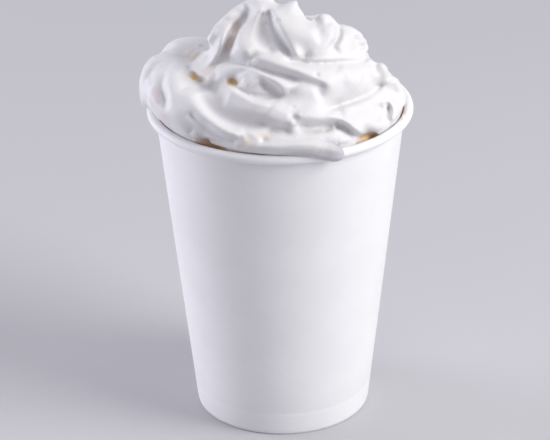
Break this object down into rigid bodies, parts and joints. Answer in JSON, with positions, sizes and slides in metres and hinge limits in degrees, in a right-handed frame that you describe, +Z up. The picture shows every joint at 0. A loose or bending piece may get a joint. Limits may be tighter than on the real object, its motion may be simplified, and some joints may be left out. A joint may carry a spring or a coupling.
{
  "type": "caffe mocha in a paper cup",
  "caption": "Caffe mocha in a tapered white paper takeaway cup with a rolled rim, filled almost to the brim and heaped with a piped whipped cream swirl.",
  "frame": {"origin": "centre of the cup's foot ring, on the table plane", "axes": "+Z up along the cup's axis, -Y towards the viewer who sees the cream rope's loose end over the rim"},
  "size_m": [0.0919, 0.091, 0.1522],
  "materials": {
    "white_paper": "smooth coated white paper board",
    "mocha": "milky coffee surface, wet",
    "whipped_cream": "soft satin dairy foam"
  },
  "bodies": {
    "root": {"cup_wall": "white_paper", "cup_base": "white_paper", "mocha": "mocha", "whipped_cream": "whipped_cream"}
  },
  "joints": []
}
